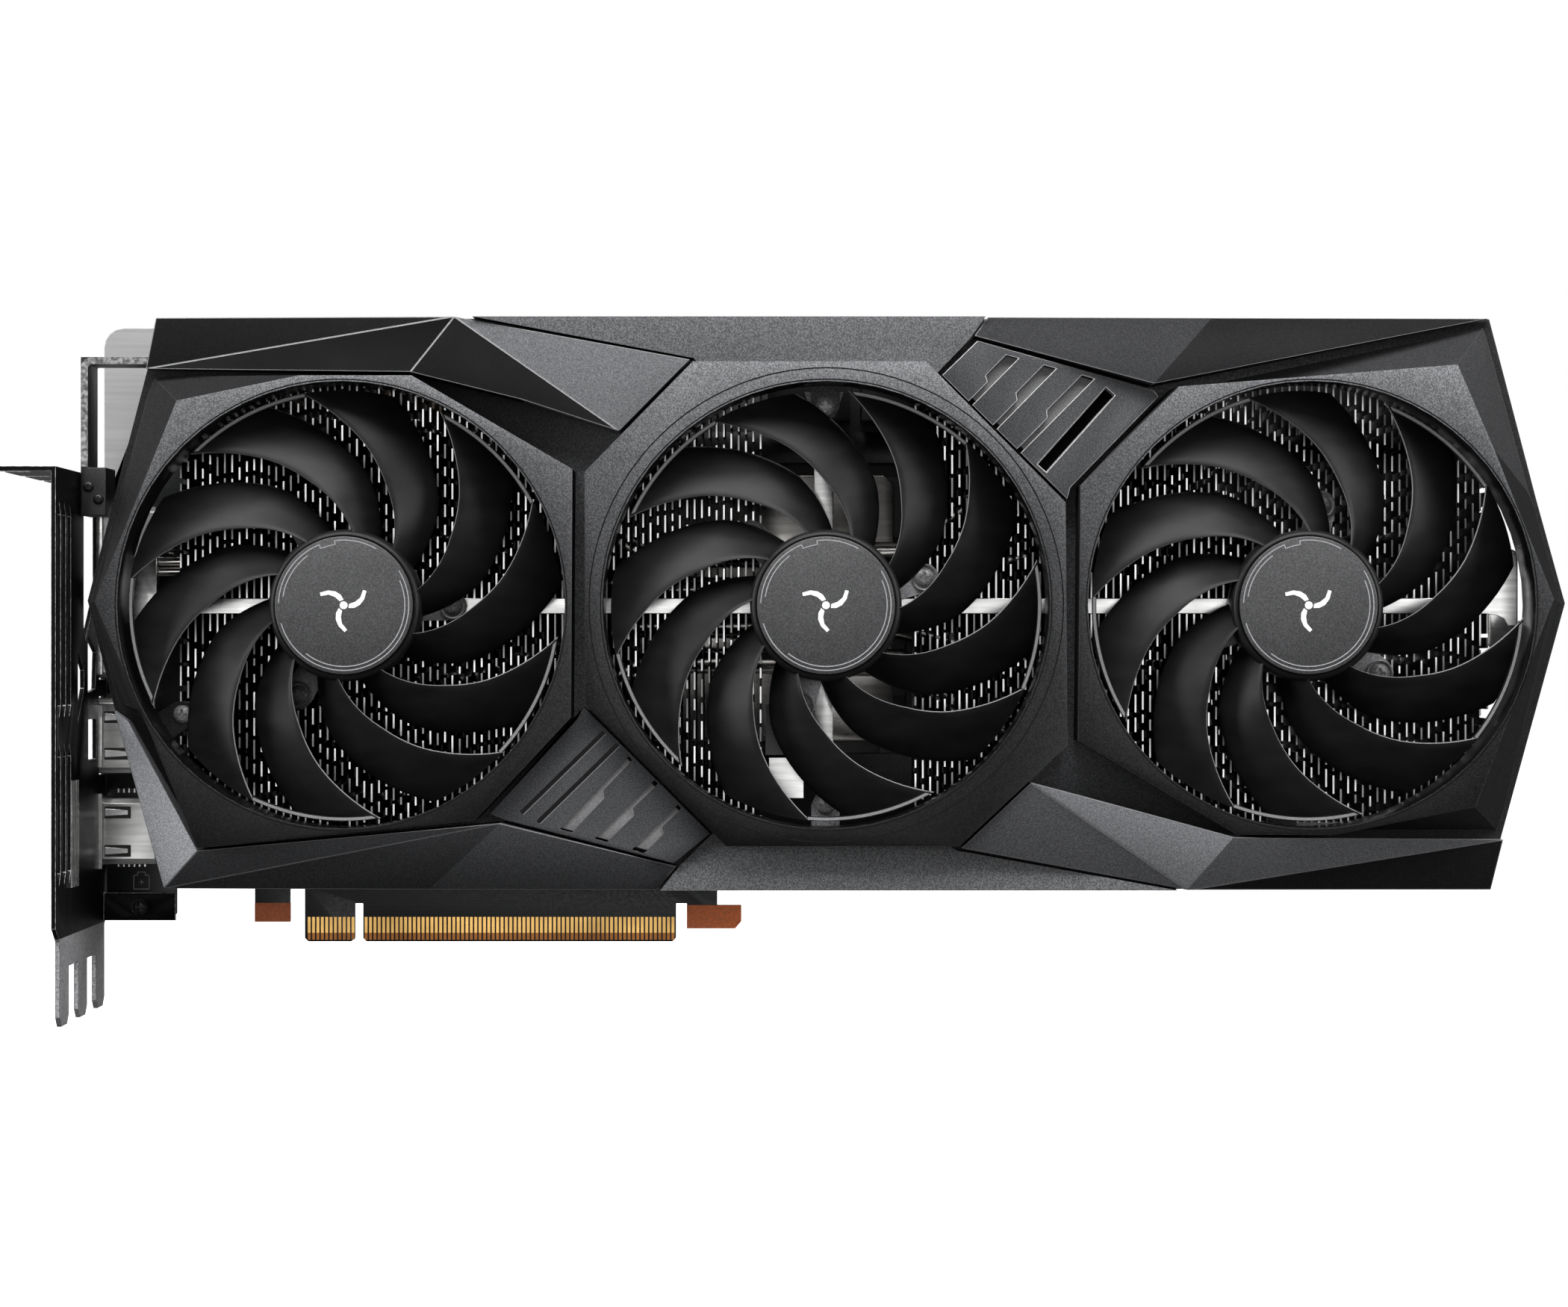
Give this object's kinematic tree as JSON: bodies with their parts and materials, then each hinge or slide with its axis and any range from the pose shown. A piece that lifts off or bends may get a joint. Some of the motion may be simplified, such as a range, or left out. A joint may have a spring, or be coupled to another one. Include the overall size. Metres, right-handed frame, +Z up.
{
  "type": "triple-fan graphics card",
  "caption": "Long expansion card with a faceted dark shroud, axial cooling fans, finned heatsink, input/output bracket and a slot edge connector.",
  "frame": {"origin": "middle of the lower face of the edge connector's long contact section, halfway through the board's thickness", "axes": "+X along the card away from the input/output bracket, +Y out of the back plate, +Z up out of the slot; the fans face -Y"},
  "size_m": [0.3374, 0.0621, 0.1547],
  "materials": {
    "board": "black solder mask, semi-gloss",
    "chip": "matte moulded package",
    "bracket_steel": "dark plated sheet steel, lightly scratched",
    "bright_steel": "bright plated steel",
    "black_steel": "black powder coat",
    "aluminium": "bare stamped fins, bright edges",
    "brushed_plate": "fine brushed, clear anodised",
    "nickel_copper": "nickel-plated copper, satin",
    "shroud_plastic": "fine spark texture, charcoal",
    "trim_plastic": "satin charcoal facets with a fine grain",
    "diffuser": "smoke-grey translucent light guide",
    "fan_plastic": "satin-gloss black moulding",
    "cap_label": "grainy charcoal label with thin silver arcs",
    "magnet": "dark sintered ferrite in its steel ring",
    "winding": "enamelled copper wire on a laminated core",
    "socket_plastic": "black glass-filled nylon"
  },
  "bodies": {
    "card": {"backplate": "brushed_plate", "bearing_left": "nickel_copper", "bearing_middle": "nickel_copper", "bearing_right": "nickel_copper", "clamp_screw_1": "black_steel", "clamp_screw_2": "black_steel", "clamp_screw_3": "black_steel", "clamp_screw_4": "black_steel", "cold_plate": "nickel_copper", "dp_socket_1": "bright_steel", "dp_socket_2": "bright_steel", "dp_socket_3": "bright_steel", "fin_rail": "bright_steel", "fin_stack_left": "aluminium", "fin_stack_right": "aluminium", "foot_screw": "black_steel", "gpu_package": "chip", "hdmi_socket": "bright_steel", "heat_pipe_1": "nickel_copper", "heat_pipe_2": "nickel_copper", "heat_pipe_3": "nickel_copper", "heat_pipe_4": "nickel_copper", "io_bracket": "bracket_steel", "light_diffuser_lower": "diffuser", "light_diffuser_upper": "diffuser", "mid_plate": "black_steel", "motor_base_left": "fan_plastic", "motor_base_middle": "fan_plastic", "motor_base_right": "fan_plastic", "pcb": "board", "power_socket_1": "socket_plastic", "power_socket_2": "socket_plastic", "power_socket_3": "socket_plastic", "shroud_screw_bottom": "bright_steel", "shroud_screw_top": "bright_steel", "shroud_shell": "shroud_plastic", "slot_panel_lower": "trim_plastic", "slot_panel_upper": "trim_plastic", "stator_left": "winding", "stator_middle": "winding", "stator_right": "winding", "support_brace": "black_steel", "trim_bottom_left": "trim_plastic", "trim_bottom_right": "trim_plastic", "trim_top_left": "trim_plastic", "trim_top_right": "trim_plastic"},
    "fan_left": {"impeller_left": "fan_plastic", "hub_cap_left": "cap_label", "shaft_left": "bright_steel", "magnet_ring_left": "magnet"},
    "fan_middle": {"impeller_middle": "fan_plastic", "hub_cap_middle": "cap_label", "shaft_middle": "bright_steel", "magnet_ring_middle": "magnet"},
    "fan_right": {"impeller_right": "fan_plastic", "hub_cap_right": "cap_label", "shaft_right": "bright_steel", "magnet_ring_right": "magnet"}
  },
  "joints": [
    {"name": "fan_left_spin", "type": "hinge", "parent": "card", "child": "fan_left", "pos_m": [-0.0346, -0.04079, 0.0761], "axis": [0, -1, 0], "continuous": true},
    {"name": "fan_middle_spin", "type": "hinge", "parent": "card", "child": "fan_middle", "pos_m": [0.0694, -0.04079, 0.0761], "axis": [0, -1, 0], "continuous": true},
    {"name": "fan_right_spin", "type": "hinge", "parent": "card", "child": "fan_right", "pos_m": [0.1735, -0.04079, 0.0761], "axis": [0, -1, 0], "continuous": true}
  ]
}
